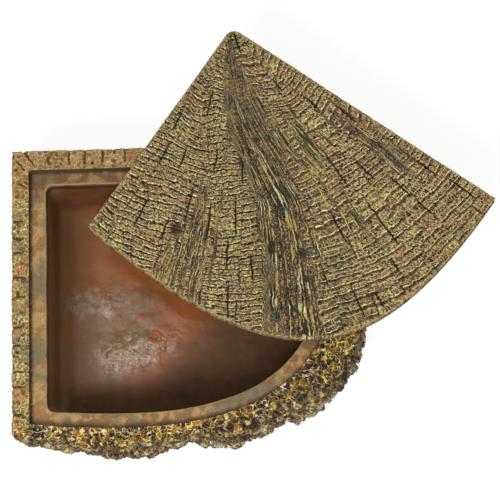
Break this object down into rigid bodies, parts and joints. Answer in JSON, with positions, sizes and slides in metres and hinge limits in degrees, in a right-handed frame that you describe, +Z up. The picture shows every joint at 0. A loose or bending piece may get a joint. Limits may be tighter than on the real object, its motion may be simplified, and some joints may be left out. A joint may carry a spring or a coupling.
{
  "type": "reptile hide",
  "caption": "Corner reptile hide shaped like a quarter of a tree stump: an open basin with bark on its curved wall and a doorway, covered by a loose lid with end grain.",
  "frame": {"origin": "on the underside of the base, below the middle of its footprint", "axes": "+X along the flat back wall, away from the square corner; +Y towards the back wall; +Z up, out of the basin"},
  "size_m": [0.3327, 0.2887, 0.0901],
  "materials": {
    "painted_bark": "cast resin painted as cork bark, with a satin red-brown basin",
    "painted_end_grain": "cast resin painted as weathered end grain, dry-brushed yellow"
  },
  "bodies": {
    "base": {"base": "painted_bark"},
    "lid": {"lid": "painted_end_grain"}
  },
  "joints": [
    {"name": "lid_lift", "type": "slide", "parent": "base", "child": "lid", "axis": [0, 0, 1], "range_m": [0, 0.12]}
  ]
}
